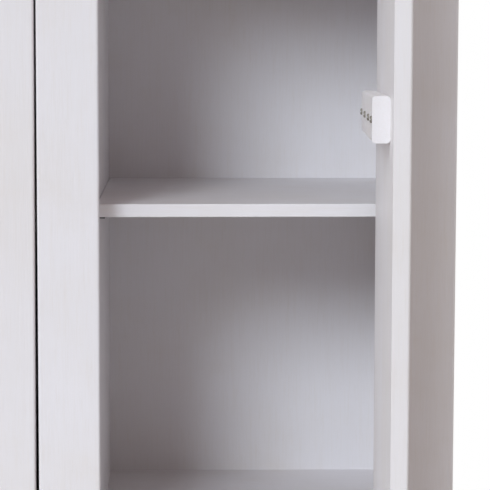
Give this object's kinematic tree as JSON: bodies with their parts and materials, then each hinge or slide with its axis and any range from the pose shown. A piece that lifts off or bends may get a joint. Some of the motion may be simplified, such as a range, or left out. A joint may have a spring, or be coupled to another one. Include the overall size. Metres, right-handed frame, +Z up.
{
  "type": "apothecary cabinet",
  "caption": "Free-standing painted apothecary cabinet: two hinged ledged plank doors over shelved bays, with a row of small drawers above.",
  "frame": {"origin": "on the floor under the middle of the carcass, on the underside of the centre bearer", "axes": "+X to the right seen from the front, +Y to the back, +Z up"},
  "size_m": [1.03, 0.9278, 1.53],
  "materials": {
    "frame_paint": "satin off-white paint",
    "back_paint": "satin off-white paint",
    "shelf_paint": "satin off-white paint",
    "door_paint": "satin off-white paint",
    "knob_paint": "satin off-white paint on turned wood",
    "bare_pine": "bare planed pine",
    "dark_steel": "blackened steel",
    "hinge_steel": "blackened steel, worn at the knuckles",
    "bright_steel": "dull nickel"
  },
  "bodies": {
    "carcass": {"back_panel": "back_paint", "back_screws": "dark_steel", "bottom_board": "frame_paint", "catch_magnets": "bright_steel", "ceiling_board": "frame_paint", "centre_bearer": "frame_paint", "divider_left": "frame_paint", "divider_right": "frame_paint", "door_stops": "door_paint", "drawer_guides": "bare_pine", "drawer_kickers": "bare_pine", "frame_bottom_rail": "frame_paint", "frame_middle_rails": "frame_paint", "frame_muntins": "frame_paint", "frame_post": "frame_paint", "frame_stile_left": "frame_paint", "frame_stile_right": "frame_paint", "frame_top_rail": "frame_paint", "hinge_frame_leaves": "hinge_steel", "hinge_frame_screws": "dark_steel", "hinge_pins": "hinge_steel", "shelf_lower_left": "shelf_paint", "shelf_lower_right": "shelf_paint", "shelf_supports": "dark_steel", "shelf_upper_left": "shelf_paint", "shelf_upper_right": "shelf_paint", "side_left": "frame_paint", "side_right": "frame_paint", "top_board": "frame_paint"},
    "door_left": {"door_left_planks": "door_paint", "door_left_battens": "door_paint", "door_left_batten_screws": "dark_steel", "door_left_hinge_leaves": "hinge_steel", "door_left_hinge_screws": "dark_steel", "door_left_knob": "knob_paint", "door_left_catch_plate": "bright_steel"},
    "door_right": {"door_right_planks": "door_paint", "door_right_battens": "door_paint", "door_right_batten_screws": "dark_steel", "door_right_hinge_leaves": "hinge_steel", "door_right_hinge_screws": "dark_steel", "door_right_knob": "knob_paint", "door_right_catch_plate": "bright_steel"},
    "drawer_1": {"drawer_1_front": "door_paint", "drawer_1_box": "bare_pine", "drawer_1_bottom": "bare_pine", "drawer_1_knob": "knob_paint"},
    "drawer_2": {"drawer_2_front": "door_paint", "drawer_2_box": "bare_pine", "drawer_2_bottom": "bare_pine", "drawer_2_knob": "knob_paint"},
    "drawer_3": {"drawer_3_front": "door_paint", "drawer_3_box": "bare_pine", "drawer_3_bottom": "bare_pine", "drawer_3_knob": "knob_paint"},
    "drawer_4": {"drawer_4_front": "door_paint", "drawer_4_box": "bare_pine", "drawer_4_bottom": "bare_pine", "drawer_4_knob": "knob_paint"}
  },
  "joints": [
    {"name": "door_left_swing", "type": "hinge", "parent": "carcass", "child": "door_left", "pos_m": [-0.4215, -0.277, 0.711], "axis": [0, 0, -1], "range_deg": [0, 170]},
    {"name": "door_right_swing", "type": "hinge", "parent": "carcass", "child": "door_right", "pos_m": [0.4215, -0.277, 0.711], "axis": [0, 0, 1], "range_deg": [-85.6, 84.4]},
    {"name": "drawer_1_slide", "type": "slide", "parent": "carcass", "child": "drawer_1", "axis": [0, -1, 0], "range_m": [0, 0.4]},
    {"name": "drawer_2_slide", "type": "slide", "parent": "carcass", "child": "drawer_2", "axis": [0, -1, 0], "range_m": [0, 0.4]},
    {"name": "drawer_3_slide", "type": "slide", "parent": "carcass", "child": "drawer_3", "axis": [0, -1, 0], "range_m": [0, 0.4]},
    {"name": "drawer_4_slide", "type": "slide", "parent": "carcass", "child": "drawer_4", "axis": [0, -1, 0], "range_m": [0, 0.4]}
  ]
}
